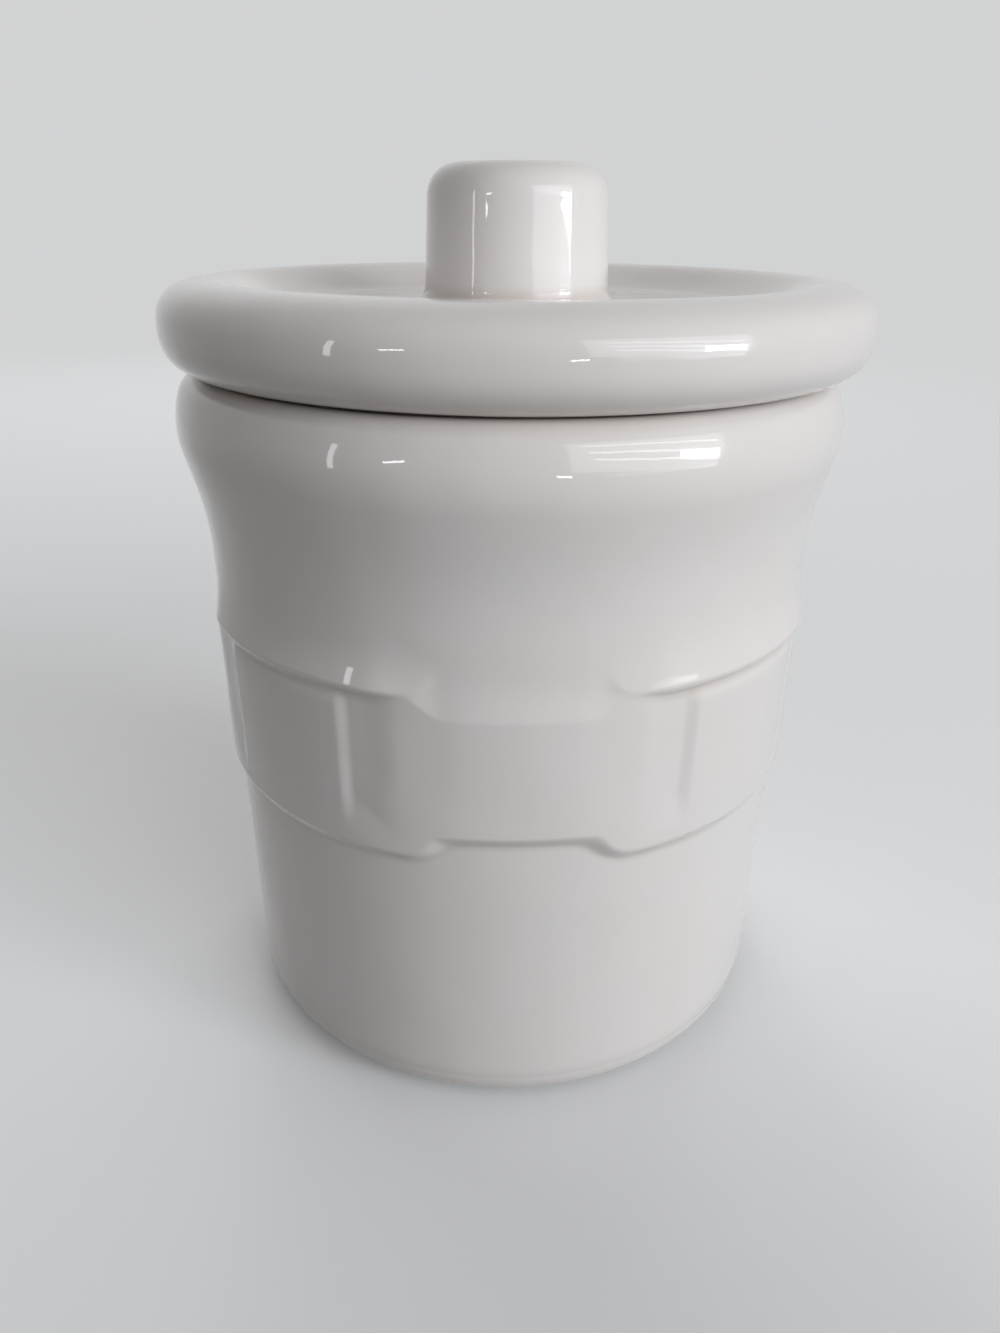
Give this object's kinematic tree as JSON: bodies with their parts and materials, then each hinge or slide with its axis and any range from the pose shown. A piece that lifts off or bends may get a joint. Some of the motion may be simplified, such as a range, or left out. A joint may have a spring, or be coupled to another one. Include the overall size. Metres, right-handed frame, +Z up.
{
  "type": "condiment crock",
  "caption": "Lidded ceramic condiment crock with a rolled rim, a woven relief band round the wall and a loose lid with a dished top and a round knob.",
  "frame": {"origin": "the jar's axis at the plane of the table that the foot ring stands on", "axes": "+Z up along the jar's axis; the middle of one plain-over stretch of the woven band faces -Y, towards the picture's camera"},
  "size_m": [0.112, 0.112, 0.145],
  "materials": {
    "ivory_glaze": "high-gloss ivory glaze over slip-cast stoneware, bare clay on the foot ring and on the lid flange's edge"
  },
  "bodies": {
    "crock": {"crock_body": "ivory_glaze"},
    "lid": {"lid": "ivory_glaze"}
  },
  "joints": [
    {"name": "lid_lift", "type": "slide", "parent": "crock", "child": "lid", "axis": [0, 0, 1], "range_m": [0, 0.12]}
  ]
}
